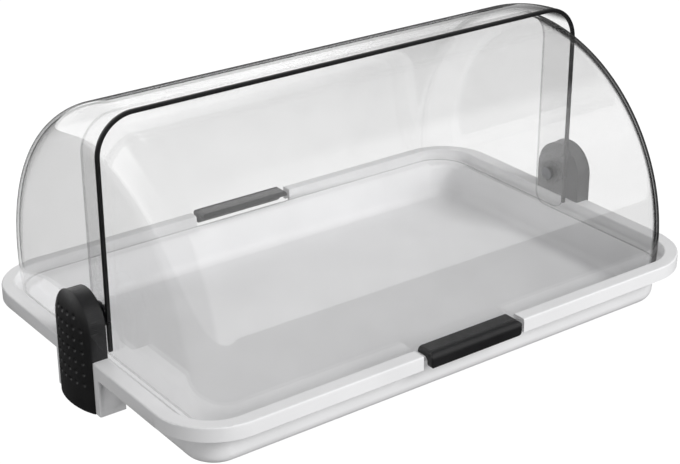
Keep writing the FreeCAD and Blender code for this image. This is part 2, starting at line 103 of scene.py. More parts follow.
def spread(tree, source, low, high):
    """Map a noise, most of which lies between 0.3 and 0.7, on to a range."""
    return add_node(tree, "ShaderNodeMapRange",
                    inputs={"From Min": 0.3, "From Max": 0.7, "To Min": low, "To Max": high},
                    links={"Value": source}).outputs["Result"]


def blend_colours(tree, factor, first, second):
    """Colour between two hex colours, by a factor from a texture."""
    node = add_node(tree, "ShaderNodeMix", {"data_type": "RGBA"}, links={"Factor": factor})
    colours = [socket for socket in node.inputs if socket.type == "RGBA"]
    colours[0].default_value = linear(first)
    colours[1].default_value = linear(second)
    return next(socket for socket in node.outputs if socket.type == "RGBA")


def grain(tree, pitch, height, strength=1.0):
    """Bump from a fine noise, its height in metres."""
    return add_node(tree, "ShaderNodeBump", inputs={"Strength": strength, "Distance": height},
                    links={"Height": speckle(tree, pitch)}).outputs["Normal"]


print("helpers ready")

# %% [markdown]
# ## White moulded ABS
# The tray is injection moulded in white ABS. The mould's fine spark-eroded finish leaves a satin
# skin: broad soft highlights, and a colour that is the same all over but for a faint cloudiness.
# The grain is drawn at 0.6 mm, coarser than the real 0.1 mm, so that it shows.

# %% Material: white moulded ABS
ABS_COLOURS = ("#E6E6E7", "#EBEBEC")
ABS_IOR = 1.52
ABS_ROUGHNESS = (0.30, 0.38)
ABS_CLOUD = 45 * MM
ABS_GLOSS_PATCH = 4.8 * MM
ABS_GRAIN = 0.6 * MM
ABS_RELIEF = 0.006 * MM


def white_abs():
    """White plastic whose colour and roughness drift a little over the piece, with a fine grain."""
    material, tree, output = new_material("white_moulded_abs")
    cloud = spread(tree, speckle(tree, ABS_CLOUD), 0.0, 1.0)
    skin = add_node(
        tree, "ShaderNodeBsdfPrincipled",
        inputs={"IOR": ABS_IOR},
        links={
            "Base Color": blend_colours(tree, cloud, *ABS_COLOURS),
            "Roughness": spread(tree, speckle(tree, ABS_GLOSS_PATCH), *ABS_ROUGHNESS),
            "Normal": grain(tree, ABS_GRAIN, ABS_RELIEF),
        })
    tree.links.new(skin.outputs["BSDF"], output.inputs["Surface"])
    return material


WHITE = white_abs()
print("made", WHITE.name)

# %% [markdown]
# ## Clear polycarbonate
# The covers are thin clear polycarbonate. Its look is almost wholly that of its mirror-like skin:
# each skin takes a few hundredths of the light head on and far more at a slant, and what it takes
# from the view it gives back as a reflection of the room, so walls seen at a slant turn grey where
# they mirror the dark table and white where they mirror the lit walls. A Transparent shader lets
# light straight through, which keeps the tray below evenly lit, and a glossy one is mixed in by
# Schlick's rule. A true wall also bends light where it turns away from the eye, which draws a dark
# line as wide as the wall is thick. That line is painted by the same facing value: thin
# everywhere, and broad on the tight bends at the right, which gather the black flag beside them.

# %% Material: clear polycarbonate, its skin and its cut edges
PC_HEAD_ON = 0.06
PC_AT_SLANT = 0.85
PC_STEEPNESS = 4.7
PC_HAZE = 30 * MM
PC_HAZE_TAKES = 0.01
PC_CORNER_FROM = 175.5 * MM
PC_CORNER_TO = 178.0 * MM
WIDE_LINE = (0.52, 0.74)
THIN_LINE = (0.88, 0.97)
THIN_LINE_PASSES = 0.35
COVER_SKIN = {"passes": 0.967, "line_passes": 0.22, "line_mirrors": 0.5, "gloss_roughness": 0.02}
SAWN_SKIN = {"passes": 0.74, "line_passes": 0.4, "line_mirrors": 0.6, "gloss_roughness": 0.18}


def ranged(tree, source, low, high, first, last, smooth=False):
    """Map a value from one range on to another, whose ends may be sockets."""
    node = add_node(tree, "ShaderNodeMapRange",
                    {"interpolation_type": "SMOOTHSTEP" if smooth else "LINEAR"},
                    links={"Value": source})
    for name, end in (("From Min", low), ("From Max", high), ("To Min", first), ("To Max", last)):
        if isinstance(end, float):
            node.inputs[name].default_value = end
        else:
            tree.links.new(end, node.inputs[name])
    return node.outputs["Result"]


def calculate(tree, operation, first, second=None):
    """One Math node. The second operand may be a socket, a number or nothing."""
    node = add_node(tree, "ShaderNodeMath", {"operation": operation}, links={0: first})
    if isinstance(second, float):
        node.inputs[1].default_value = second
    elif second is not None:
        tree.links.new(second, node.inputs[1])
    return node.outputs["Value"]


def at_right_bend(tree):
    """1 in the tight bend at a cover's right end and 0 along its roof and at its left."""
    x = add_node(tree, "ShaderNodeSeparateXYZ", links={"Vector": place(tree)}).outputs["X"]
    return ranged(tree, x, PC_CORNER_FROM, PC_CORNER_TO, 0.0, 1.0)


def clear_polycarbonate(name, passes, line_passes, line_mirrors, gloss_roughness):
    """Clear plastic. passes is the share of light that one skin lets through besides what it
    mirrors, and the other two are the shares left of both in the broad dark line."""
    material, tree, output = new_material(name)
    facing = add_node(tree, "ShaderNodeLayerWeight", inputs={"Blend": 0.5}).outputs["Facing"]
    steep = calculate(tree, "POWER", facing, PC_STEEPNESS)
    mirror = ranged(tree, steep, 0.0, 1.0, PC_HEAD_ON, PC_AT_SLANT)
    corner = at_right_bend(tree)
    line_from = ranged(tree, corner, 0.0, 1.0, THIN_LINE[0], WIDE_LINE[0])
    line_to = ranged(tree, corner, 0.0, 1.0, THIN_LINE[1], WIDE_LINE[1])
    haze = spread(tree, speckle(tree, PC_HAZE), passes - PC_HAZE_TAKES, passes)
    dark = ranged(tree, corner, 0.0, 1.0, THIN_LINE_PASSES, line_passes)
    tint = ranged(tree, facing, line_from, line_to, haze, dark, smooth=True)
    silver = ranged(tree, facing, line_from, line_to, 1.0, line_mirrors, smooth=True)
    through = add_node(tree, "ShaderNodeBsdfTransparent", links={"Color": tint})
    gloss = add_node(tree, "ShaderNodeBsdfPrincipled",
                     inputs={"Metallic": 1.0, "Roughness": gloss_roughness},
                     links={"Base Color": silver})
    skin = add_node(tree, "ShaderNodeMixShader",
                    links={0: mirror, 1: through.outputs["BSDF"], 2: gloss.outputs["BSDF"]})
    tree.links.new(skin.outputs["Shader"], output.inputs["Surface"])
    return material


CLEAR = clear_polycarbonate("clear_polycarbonate", **COVER_SKIN)
CUT_EDGE = clear_polycarbonate("sawn_polycarbonate_edge", **SAWN_SKIN)
print("made", CLEAR.name, "and", CUT_EDGE.name)

# %% [markdown]
# ## Black plastics, rubber and steel
# The grips and pulls are soft-touch black TPE over a hard core: almost no mirror image, a broad dim
# sheen and a fine pebbled skin. The strip on the rear cover is extruded black rubber, a little
# smoother. The bushes are black acetal, slightly waxy. Pins and screws are dulled steel.

# %% Materials: black soft-touch plastic, rubber, acetal and dulled steel
BLACK_IOR = 1.5
BLACK_SPECULAR = 0.45
BLACK_CLOUD = 14 * MM
ROUGHNESS_DRIFT = 0.05
STEEL_COLOURS = ("#5E5F62", "#77787B")
STEEL_ROUGHNESS = (0.32, 0.46)
STEEL_CLOUD = 3 * MM
STEEL_GLOSS_PATCH = 0.8 * MM
STEEL_GRAIN = 0.4 * MM
STEEL_RELIEF = 0.004 * MM


def black_plastic(name, dark, light, roughness, pitch, relief):
    """Black plastic between two near-black hex colours, with a pebbled skin. Its roughness drifts
    over patches six pebbles wide."""
    material, tree, output = new_material(name)
    cloud = spread(tree, speckle(tree, BLACK_CLOUD), 0.0, 1.0)
    gloss_patch = speckle(tree, pitch * 6)
    skin = add_node(
        tree, "ShaderNodeBsdfPrincipled",
        inputs={"IOR": BLACK_IOR, "Specular IOR Level": BLACK_SPECULAR},
        links={
            "Base Color": blend_colours(tree, cloud, dark, light),
            "Roughness": spread(tree, gloss_patch, roughness - ROUGHNESS_DRIFT,
                                roughness + ROUGHNESS_DRIFT),
            "Normal": grain(tree, pitch, relief),
        })
    tree.links.new(skin.outputs["BSDF"], output.inputs["Surface"])
    return material


def dulled_steel():
    """Bead-blasted steel: metal with an even, rather rough skin."""
    material, tree, output = new_material("dulled_steel")
    cloud = spread(tree, speckle(tree, STEEL_CLOUD), 0.0, 1.0)
    skin = add_node(
        tree, "ShaderNodeBsdfPrincipled",
        inputs={"Metallic": 1.0},
        links={
            "Base Color": blend_colours(tree, cloud, *STEEL_COLOURS),
            "Roughness": spread(tree, speckle(tree, STEEL_GLOSS_PATCH), *STEEL_ROUGHNESS),
            "Normal": grain(tree, STEEL_GRAIN, STEEL_RELIEF),
        })
    tree.links.new(skin.outputs["BSDF"], output.inputs["Surface"])
    return material


SOFT_BLACK = black_plastic("soft_touch_black", "#161617", "#1E1E1F", 0.42, 0.5 * MM, 0.015 * MM)
RUBBER = black_plastic("extruded_black_rubber", "#0C0C0D", "#121213", 0.45, 0.6 * MM, 0.01 * MM)
ACETAL = black_plastic("black_acetal", "#17171A", "#202023", 0.35, 0.4 * MM, 0.004 * MM)
STEEL = dulled_steel()
print("made", ", ".join(m.name for m in (SOFT_BLACK, RUBBER, ACETAL, STEEL)))

# %% [markdown]
# ## From arrays to pieces
# Every new piece is a grid of points worked out as whole arrays. These helpers turn a grid into
# faces, join several grids at their shared edges, and make sure that the faces point outwards.

# %% Helpers for grids and pieces
SHARP_DEGREES = 32
ROUND_FROM_DEGREES = 60
ROUND_SEGMENTS = 2
FLAT_FACE_WEIGHT = 60
MERGE_WITHIN = 0.0004 * MM
CAD_MERGE_WITHIN = 0.001 * MM


def grid_faces(rows, columns, first=0, closed=False):
    """Quads between neighbouring rows and columns of a grid whose points are numbered row by row.
    A closed grid joins its last column to its first."""
    across = np.arange(columns if closed else columns - 1)
    beside = (across + 1) % columns
    row = np.arange(rows - 1)[:, None] * columns + first
    corners = (row + across, row + beside, row + columns + beside, row + columns + across)
    return np.stack(corners, -1).reshape(-1, 4)


def stack(grids):
    """Join grids, each (points, closed, slot), into one list of points, quads and slots."""
    points, faces, slots, count = [], [], [], 0
    for grid, closed, slot in grids:
        rows, columns = grid.shape[:2]
        quads = grid_faces(rows, columns, count, closed)
        points.append(grid.reshape(-1, 3))
        faces.append(quads)
        slots.append(np.full(len(quads), slot))
        count += rows * columns
    return np.concatenate(points), np.concatenate(faces), np.concatenate(slots)


def finish_shading(piece, bevel=None):
    """Smooth shading that stays crisp at true edges, after an optional small round-over."""
    if bevel:
        rounded = piece.modifiers.new("edge_round", "BEVEL")
        rounded.width = bevel
        rounded.segments = ROUND_SEGMENTS
        rounded.limit_method = "ANGLE"
        rounded.angle_limit = math.radians(ROUND_FROM_DEGREES)
    weighted = piece.modifiers.new("flat_faces_lead", "WEIGHTED_NORMAL")
    weighted.keep_sharp = True
    weighted.weight = FLAT_FACE_WEIGHT


def merge_points(shape, distance):
    """Merge points closer than the distance, and take out slivers half as thin."""
    bmesh.ops.remove_doubles(shape, verts=shape.verts, dist=distance)
    bmesh.ops.dissolve_degenerate(shape, edges=shape.edges, dist=distance / 2)


def shown(name, mesh, bevel=None):
    """Object at the origin that shows a mesh, smooth but for its true edges."""
    mesh.shade_smooth()
    mesh.set_sharp_from_angle(angle=math.radians(SHARP_DEGREES))
    piece = bpy.data.objects.new(name, mesh)
    bpy.context.scene.collection.objects.link(piece)
    finish_shading(piece, bevel)
    return piece


def make_piece(name, grids, materials, bevel=None):
    """Closed piece from grids given in millimetres, merged where they meet. Ends that are left open
    are capped with one flat face each."""
    points, faces, slots = stack(grids)
    mesh = bpy.data.meshes.new(name)
    mesh.from_pydata((points * MM).tolist(), [], faces.tolist())
    mesh.polygons.foreach_set("material_index", slots)
    shape = bmesh.new()
    shape.from_mesh(mesh)
    merge_points(shape, MERGE_WITHIN)
    open_edges = [edge for edge in shape.edges if edge.is_boundary]
    if open_edges:
        bmesh.ops.holes_fill(shape, edges=open_edges)
    bmesh.ops.recalc_face_normals(shape, faces=shape.faces)
    shape.to_mesh(mesh)
    shape.free()
    for material in materials:
        mesh.materials.append(material)
    print(f"{name}: {len(mesh.polygons)} faces, {len(open_edges)} open edges capped")
    return shown(name, mesh, bevel)


def seat(piece, body, node):
    """The piece rides on a body and stands in for a node, which is hidden."""
    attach(piece, body)
    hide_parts(node)
    return piece


# %% [markdown]
# ## Clear covers
# Each cover is a wall of constant thickness turned about a line parallel to the pivots, with its
# long corners rounded, and cut by an upright plane near the top and a level one at the foot. The
# rear cover's section has two arcs that meet where they share a tangent: a round one about the
# pivots behind, and a flatter crest in front. The front cover has a single, slightly flatter arc so
# that it turns inside the other. Both are worked out facing the rear, and the front one is then
# mirrored. On the grid, one parameter runs across the bin from panel to panel, and the other
# runs down the section from the upright cut to the foot. The covers throw no shadow and give the
# tray no second-hand light, because the room that the tray sees is already dimmed for them.

# %% Sizes of the covers
PIVOT_UP = 60.3
WALL = 2.0
FOOT_UP = 32.2
PANEL_CORNER = 10.0
HOLE = 4.07
REAR = {"half": 203.2, "corner": 28.0, "cut": -12.95, "lean": math.radians(35), "radius": 135.6,
        "crest_setback": 28.3, "back": 0.0, "up": PIVOT_UP}
FRONT = {"half": 199.5, "corner": 25.0, "cut": -13.2, "lean": 0.0, "radius": 144.5,
         "crest_setback": 0.0, "back": -12.9, "up": PIVOT_UP - 12.2}
CORNER_STEPS = 22
ROOF_STEPS = 8
SECTION_STEPS = 128
LINE_STEPS = 14
BEND_STEPS = 9
PANEL_RING_SHARES = (0, 0.05, 0.2, 0.6, 1)


def section(cover, angle, inset):
    """Point of a cover's section: out from an arc's centre by its radius less the inset, at an
    angle from straight up towards the rear. Ahead of the lean it is the crest's arc, whose centre
    lies back along the leaning line, and behind it the main arc."""
    crest = cover["crest_setback"]
    ahead = angle < cover["lean"]
    radius = cover["radius"] - inset + np.where(ahead, crest, 0)
    back = cover["back"] - np.where(ahead, crest * math.sin(cover["lean"]), 0)
    up = cover["up"] - np.where(ahead, crest * math.cos(cover["lean"]), 0)
    return back + radius * np.sin(angle), up + radius * np.cos(angle)


def section_limits(cover, inset):
    """Angles at which the section meets the upright cut and the level foot."""
    crest = cover["crest_setback"]
    front_centre = cover["back"] - crest * math.sin(cover["lean"])
    top = np.arcsin((cover["cut"] - front_centre) / (cover["radius"] + crest - inset))
    foot = np.arccos((FOOT_UP - cover["up"]) / (cover["radius"] - inset))
    return top, foot


def arch_grid(cover, depth):
    """Roof and both rounded corners, at this depth inside the outer skin. Across, a corner turns
    a quarter circle from the end panel to the roof, and the roof runs straight."""
    small = cover["corner"] - depth
    turn = np.linspace(0, math.pi / 2, CORNER_STEPS + 1)
    shoulder = cover["half"] - cover["corner"]
    corner_x = shoulder + small * np.cos(turn)
    corner_inset = cover["corner"] - small * np.sin(turn)
    roof_x = np.linspace(shoulder, -shoulder, ROOF_STEPS + 1)[1:-1]
    x = np.concatenate([corner_x, roof_x, -corner_x[::-1]])[:, None]
    inset = np.concatenate([corner_inset, np.full(len(roof_x), depth), corner_inset[::-1]])[:, None]
    top, foot = section_limits(cover, inset)
    angle = top + (foot - top) * np.linspace(0, 1, SECTION_STEPS)
    y, z = section(cover, angle, inset)
    return np.stack([np.broadcast_to(x, y.shape), y, z], -1)


def panel_loop(cover):
    """Outline of an end panel, in order: its arc, the level foot, the small rounded corner and the
    upright cut back to the start."""
    top, foot = section_limits(cover, cover["corner"])
    arc = np.stack(section(cover, np.linspace(top, foot, SECTION_STEPS), cover["corner"]), -1)
    cut = cover["cut"]
    level = np.linspace(arc[-1, 0], cut + PANEL_CORNER, LINE_STEPS)[1:]
    turn = np.linspace(0, math.pi / 2, BEND_STEPS)[1:]
    bend = np.stack([cut + PANEL_CORNER - PANEL_CORNER * np.sin(turn),
                     FOOT_UP + PANEL_CORNER - PANEL_CORNER * np.cos(turn)], -1)
    upright = np.linspace(bend[-1, 1], arc[0, 1], LINE_STEPS)[1:-1]
    foot_line = np.stack([level, np.full_like(level, FOOT_UP)], -1)
    cut_line = np.stack([np.full_like(upright, cut), upright], -1)
    return np.concatenate([arc, foot_line, bend, cut_line])


def panel_grid(loop, x):
    """Flat panel between its pivot hole and its outline, along straight lines from the pivot."""
    from_pivot = loop - [0, PIVOT_UP]
    ring = from_pivot / np.linalg.norm(from_pivot, axis=1)[:, None] * HOLE + [0, PIVOT_UP]
    share = np.array(PANEL_RING_SHARES)[:, None, None]
    flat = ring + (loop - ring) * share
    return np.concatenate([np.full((*flat.shape[:2], 1), x), flat], -1)


def cover_grids(cover, way):
    """All skins of a cover: outer, inner, and the sawn edges that join them. way is 1 at the rear
    and -1 at the front."""
    outer, inner = arch_grid(cover, 0), arch_grid(cover, WALL)
    loop = panel_loop(cover)
    grids = [(outer, False, 0), (inner, False, 0)]
    grids += [(np.stack([outer[:, end], inner[:, end]]), False, 1) for end in (0, -1)]
    for side in (1, -1):
        skins = [panel_grid(loop, side * (cover["half"] - depth)) for depth in (0, WALL)]
        grids += [(skin, True, 0) for skin in skins]
        sawn = np.roll(np.arange(len(loop)), 1 - SECTION_STEPS)[:len(loop) - SECTION_STEPS + 2]
        grids.append((np.stack([skin[-1][sawn] for skin in skins]), False, 1))
        grids.append((np.stack([skin[0] for skin in skins]), True, 1))
    return [(grid * [1, way, 1], closed, slot) for grid, closed, slot in grids]


# %% Make the covers
EDGE_ROUND = 0.25 * MM
rear_cover = make_piece("rear_clear_cover", cover_grids(REAR, 1), [CLEAR, CUT_EDGE], EDGE_ROUND)
front_cover = make_piece("front_clear_cover", cover_grids(FRONT, -1), [CLEAR, CUT_EDGE], EDGE_ROUND)
seat(rear_cover, "rear_cover", "rear_cover")
seat(front_cover, "front_cover", "front_cover")
for cover in (rear_cover, front_cover):
    cover.visible_shadow = False
    cover.visible_diffuse = False

# %% [markdown]
# ## Black strip along the rear cover's edge
# An extruded strip is a small rounded profile carried along a path. The path follows the middle of
# the cover's sawn edge: up one side, round a corner, over the top and down again.

# %% Strip profile, path and pieces
STRIP_THICK = 3.0
STRIP_DEEP = 2.4
STRIP_ROUND = 0.6
STRIP_INSET = 1.3
STRIP_BACK = -14.2
STRIP_GAP = 0.8
STRIP_FOOT = 38.5
STRIP_END_ROUND = 1.0
STRIP_END_FROM = 0.15
STRIP_END_STEPS = 7
STRIP_END_STRAIGHT = 4.0
STRAIGHT_STEPS = 6
PROFILE_STEPS = 5


def rounded_profile(width, height, corner):
    """Round-cornered rectangle as a closed loop of points about its middle."""
    turn = np.linspace(0, math.pi / 2, PROFILE_STEPS)
    middles = np.array([[1, 1], [-1, 1], [-1, -1], [1, -1]]) * [width / 2 - corner, height / 2 - corner]
    starts = np.arange(4) * math.pi / 2
    loops = [middle + corner * np.stack([np.cos(turn + start), np.sin(turn + start)], -1)
             for middle, start in zip(middles, starts)]
    return np.concatenate(loops)


def carried(profile, path, outward, size):
    """Profile carried along a path in the plane across the bin: its first axis points outwards and
    its second to the rear. size shrinks it where the strip's end is rounded."""
    spread_out = profile[:, 0] * size[:, None]
    to_rear = profile[:, 1] * size[:, None]
    x = path[:, :1] + outward[:, :1] * spread_out
    z = path[:, 1:] + outward[:, 1:] * spread_out
    return np.stack([x, STRIP_BACK + to_rear, z], -1)


def strip_path(cover):
    """Right half of the path, from the joint at the pivots up to the middle of the top, with the
    outward directions."""
    half = cover["half"] - STRIP_INSET
    corner = cover["corner"] - STRIP_INSET
    angle, _ = section_limits(cover, STRIP_INSET)
    top = float(section(cover, angle, STRIP_INSET)[1])
    low = PIVOT_UP + STRIP_GAP / 2
    turn = np.linspace(0, math.pi / 2, CORNER_STEPS)
    bend = np.stack([half - corner + corner * np.cos(turn), top - corner + corner * np.sin(turn)], -1)
    leg_up = np.linspace(low, top - corner, STRAIGHT_STEPS)[:-1]
    roof_in = np.linspace(half - corner, 0, STRAIGHT_STEPS)[1:]
    leg = np.stack([np.full_like(leg_up, half), leg_up], -1)
    roof = np.stack([roof_in, np.full_like(roof_in, top)], -1)
    outward = np.concatenate([np.tile([1, 0], (len(leg), 1)),
                              np.stack([np.cos(turn), np.sin(turn)], -1),
                              np.tile([0, 1], (len(roof), 1))])
    return np.concatenate([leg, bend, roof]), outward


def strip_grid():
    """The long strip: the right half of the path and its mirror image."""
    path, outward = strip_path(REAR)
    mirror = np.array([-1, 1])
    whole = np.concatenate([path, (path * mirror)[-2::-1]])
    directions = np.concatenate([outward, (outward * mirror)[-2::-1]])
    profile = rounded_profile(STRIP_THICK, STRIP_DEEP, STRIP_ROUND)
    return carried(profile, whole, directions, np.ones(len(whole)))


def strip_end_grid(side):
    """A short piece below the pivots, its lower end rounded: near the end the profile shrinks
    along a quarter circle."""
    profile = rounded_profile(STRIP_THICK, STRIP_DEEP, STRIP_ROUND)
    turn = np.linspace(STRIP_END_FROM, math.pi / 2, STRIP_END_STEPS)
    rounded = STRIP_FOOT + STRIP_END_ROUND * (1 - np.cos(turn))
    straight = np.linspace(STRIP_FOOT + STRIP_END_STRAIGHT, PIVOT_UP - STRIP_GAP / 2, STRAIGHT_STEPS)
    heights = np.concatenate([rounded, straight])
    size = np.concatenate([np.sin(turn), np.ones_like(straight)])
    path = np.stack([np.full(len(heights), side * (REAR["half"] - STRIP_INSET)), heights], -1)
    outward = np.tile([side, 0], (len(heights), 1))
    return carried(profile, path, outward, size)


strip = make_piece("edge_strip", [(strip_grid(), True, 0)], [RUBBER])
end_grids = [(strip_end_grid(side), True, 0) for side in (1, -1)]
strip_ends = make_piece("edge_strip_ends", end_grids, [RUBBER])
seat(strip, "rear_cover", "rear_cover_seal")
seat(strip_ends, "rear_cover", "rear_seal_ends")

# %% [markdown]
# ## Grip pads
# A pad is a soft dome over the plate below it, half-round at the top, with a field of small dimples
# for the palm. The dome's height falls as a power of one less the square of the distance from the
# middle line, and it leans in a little towards its top. Each dimple is a smooth bowl. The dimples
# stand in straight rows, and the two columns at the sides start a row lower, below the round top.

# %% Sizes and surface of a grip pad
PAD_SEAT = 220.13
PAD_DEEP = 7.0
PAD_LEAN = 0.6
PAD_POWER = 0.7
PAD_HALF = 23.1
PAD_FOOT = 1.8
PAD_TOP = 82.9
PAD_FOOT_ROUND = 2.2
PAD_FOOT_SHARE = 0.72
DIMPLE_RADIUS = 2.3
DIMPLE_DEEP = 0.95
DIMPLES_WHERE_DEEPER = 1.0
DIMPLE_COLUMNS = (-16.8, -10.1, -3.4, 3.4, 10.1, 16.8)
DIMPLE_ROWS = (22.4, 30.3, 38.2, 46.1, 54.0, 61.9, 69.8)
PAD_ACROSS = 150
PAD_UP = 250
PAD_CROWDING = 1.35


def dimple_depth(y, z):
    """Depth of the dimples at each point: a smooth bowl, one plus the cosine of the distance from
    the middle, out to the dimple's radius."""
    depth = np.zeros_like(y)
    for column in DIMPLE_COLUMNS:
        for row in DIMPLE_ROWS:
            if row == DIMPLE_ROWS[-1] and abs(column) == max(DIMPLE_COLUMNS):
                continue
            away = np.hypot(y - column, z - row) / DIMPLE_RADIUS
            bowl = DIMPLE_DEEP * (1 + np.cos(math.pi * np.clip(away, 0, 1))) / 2
            depth = np.maximum(depth, bowl)
    return depth


def pad_grid():
    """Dome over the tongue-shaped outline, lower at its foot. Across, points crowd towards the edges
    by a sine, so that the steep rim stays smooth."""
    shoulder = PAD_TOP - PAD_HALF
    straight = np.linspace(PAD_FOOT, shoulder, PAD_UP * 2 // 3)
    lift = np.linspace(0, math.pi / 2, PAD_UP // 3)[1:]
    z = np.concatenate([straight, shoulder + PAD_HALF * np.sin(lift)])[:, None]
    half = np.sqrt(np.clip(PAD_HALF ** 2 - np.clip(z - shoulder, 0, None) ** 2, 0, None))
    y = half * np.sin(np.linspace(-1, 1, PAD_ACROSS) * PAD_CROWDING) / math.sin(PAD_CROWDING)
    radial = np.hypot(y, np.clip(z - shoulder, 0, None)) / PAD_HALF
    deep = PAD_DEEP - PAD_LEAN * z / PAD_TOP
    dome = deep * np.clip(1 - radial ** 2, 0, None) ** PAD_POWER
    above = np.clip((z - PAD_FOOT) / PAD_FOOT_ROUND, 0, 1)
    dome = dome * (PAD_FOOT_SHARE + (1 - PAD_FOOT_SHARE) * np.sqrt(1 - (1 - above) ** 2))
    z = np.broadcast_to(z, y.shape)
    x = PAD_SEAT + dome - dimple_depth(y, z) * (dome > DIMPLES_WHERE_DEEPER)
    return np.stack([x, y, z], -1)


def pad_grids(side):
    """Dome, flat back and the small foot that joins them, for the right end (1) or the left (-1)."""
    front = pad_grid()
    back = front.copy()
    back[..., 0] = PAD_SEAT
    foot = np.stack([front[0], back[0]])
    return [(grid * [side, side, 1], False, 0) for grid in (front, back, foot)]


for side, end in ((1, "right"), (-1, "left")):
    pad = make_piece(f"{end}_dimpled_pad", pad_grids(side), [SOFT_BLACK])
    seat(pad, "tray", f"{end}_grip_pad")

# %% [markdown]
# ## Pulls
# A pull is one section carried along x: a flange bonded to the cover, a groove, and a rounded lip to
# hook the fingers under. At a distance d from an end, a corner of radius R has taken away
# R - sqrt(R^2 - (R - d)^2), so the ends close in round corners.

# %% Section and ends of a pull
# An arc is its centre, its radius, and its first and last angle in degrees.
PULL_HALF = 39.25
PULL_TOP = 40.8
PULL_LOW = 29.3
PULL_REACH = 146.81
PULL_BACK = ((131.55, 40.8), (131.27, 36.8))
GROOVE = ((140.8, 40.8), (141.9, 39.4), (143.0, 40.8))
CROWN = ((142.314, 36.353), 4.5, 81.2, -4.5)
TIP_OUTSIDE = ((144.4, 30.9), 1.6, 0, -90)
TIP_INSIDE = ((143.2, 30.9), 1.6, -90, -180)
HOOK = ((138.1, 33.3), 3.5, 0, 90)
CORNER_LOW = 3.4
CORNER_TOP = 3.2
CORNER_FRONT = 1.3
ARC_STEPS = 10
END_STEPS = 16


def arc_points(centre, radius, first, last):
    """Points (reach, z) on an arc between two angles in degrees."""
    turn = np.radians(np.linspace(first, last, ARC_STEPS))
    return np.stack([centre[0] + radius * np.cos(turn), centre[1] + radius * np.sin(turn)], -1)


def taken(radius, distance):
    """What a round corner has taken away at a distance from the end."""
    left = radius - np.clip(distance, 0, radius)
    return radius - np.sqrt(radius ** 2 - left ** 2)


def pull_grid(side):
    """Sections of the pull in front (-1) or behind (1), from its left end to its right. A section
    is drawn once, as (reach, z) points, and each one near an end is cut back to its round corner."""
    arcs = [arc_points(*arc) for arc in (CROWN, TIP_OUTSIDE, TIP_INSIDE, HOOK)]
    outline = np.concatenate([PULL_BACK[:1], GROOVE, *arcs, PULL_BACK[1:]])
    near_end = CORNER_LOW * (1 - np.cos(np.linspace(0, math.pi / 2, END_STEPS)))
    stations = np.concatenate([near_end - PULL_HALF, PULL_HALF - near_end[::-1]])
    rows = []
    for x in stations:
        away = PULL_HALF - abs(x)
        reach = np.minimum(outline[:, 0], PULL_REACH - taken(CORNER_FRONT, away))
        z = np.clip(outline[:, 1], PULL_LOW + taken(CORNER_LOW, away),
                    PULL_TOP - taken(CORNER_TOP, away))
        rows.append(np.stack([np.full_like(z, x), side * reach, z], -1))
    return np.stack(rows)


for side, name in ((-1, "front"), (1, "rear")):
    pull = make_piece(f"{name}_pull", [(pull_grid(side), True, 0)], [SOFT_BLACK])
    seat(pull, f"{name}_cover", f"{name}_handle")

# %% [markdown]
# ## Moulded and turned pieces from the CAD
# The tray, the hollow grip bodies and the turned parts are right as they are. The packed
# mesh is loose triangles, so each gets a copy whose corners are merged. Then flat faces lead the
# shading, and the fillets look smooth.

# %% Dress the CAD pieces
def dressed(node, name, material, body):
    """Merged copy of a CAD node with one material, on the body that the node has."""
    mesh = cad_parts[node].data.copy()
    mesh.name = name
    shape = bmesh.new()
    shape.from_mesh(mesh)
    merge_points(shape, CAD_MERGE_WITHIN)
    shape.to_mesh(mesh)
    shape.free()
    mesh.materials.clear()
    mesh.materials.append(material)
    print(f"{name}: {len(mesh.polygons)} triangles")
    return seat(shown(name, mesh), body, node)


dressed("tray", "moulded_tray", WHITE, "tray")
for end in ("right", "left"):
    dressed(f"{end}_grip_body", f"{end}_grip_core", SOFT_BLACK, "tray")
    dressed(f"{end}_grip_screws", f"{end}_hidden_screws", STEEL, "tray")
    dressed(f"{end}_pivot_pin", f"{end}_turned_pin", STEEL, "tray")
    dressed(f"{end}_spacer_bush", f"{end}_acetal_bush", ACETAL, "tray")
    dressed(f"{end}_slip_washer", f"{end}_acetal_washer", ACETAL, "tray")

# %% [markdown]
# ## Camera
# The photograph was taken from the front left, a little above the bin, with a long lens that keeps
# the tray's sides nearly parallel. The place and turn below were worked out from the tray's rim.

# %% Camera at the photograph's angle
CAMERA_AT = (-636.9, -858.6, 554.7)
CAMERA_TURN = -36.34
CAMERA_DOWN = 24.67
CAMERA_ROLL = -0.21
FOCAL_PIXELS = 1635.8
PHOTO_WIDTH = 680
SENSOR_WIDTH = 36.0
NEAREST = 0.01
FARTHEST = 50

lens = bpy.data.cameras.new("photo_lens")
lens.sensor_width = SENSOR_WIDTH
lens.lens = FOCAL_PIXELS * SENSOR_WIDTH / PHOTO_WIDTH
lens.clip_start = NEAREST
lens.clip_end = FARTHEST
camera = bpy.data.objects.new("photo_camera", lens)
bpy.context.scene.collection.objects.link(camera)
camera.matrix_world = (
    Matrix.Translation(Vector(CAMERA_AT) * MM)
    @ Matrix.Rotation(math.radians(CAMERA_TURN), 4, "Z")
    @ Matrix.Rotation(math.radians(90 - CAMERA_DOWN), 4, "X")
    @ Matrix.Rotation(math.radians(CAMERA_ROLL), 4, "Z")
)
bpy.context.scene.camera = camera
print("lens", round(lens.lens, 1), "mm")

# %% [markdown]
# ## Table, room and lamps
# The picture is a bright-field one, the usual way to show clear plastic. The table behind is lit
# until it is pure white to the camera, with no shadow on it, but the plastic mirrors it dark. The
# walls of the room are bright up to about fifty degrees, the ceiling is grey, and black flags stand
# at the right rear and beside the camera. They draw the dark edges. The white tray is lit by the
# same room, more softly, and by one large panel at the front right. Light Path nodes keep these
# three looks of the table and the room apart.

# %% Table that is white to the camera and dark in reflections
FLOOR_HALF = 6.0
TABLE_TO_CAMERA = 1.05
TABLE_MIRRORED = 0.06
TABLE_TO_TRAY = 0.44

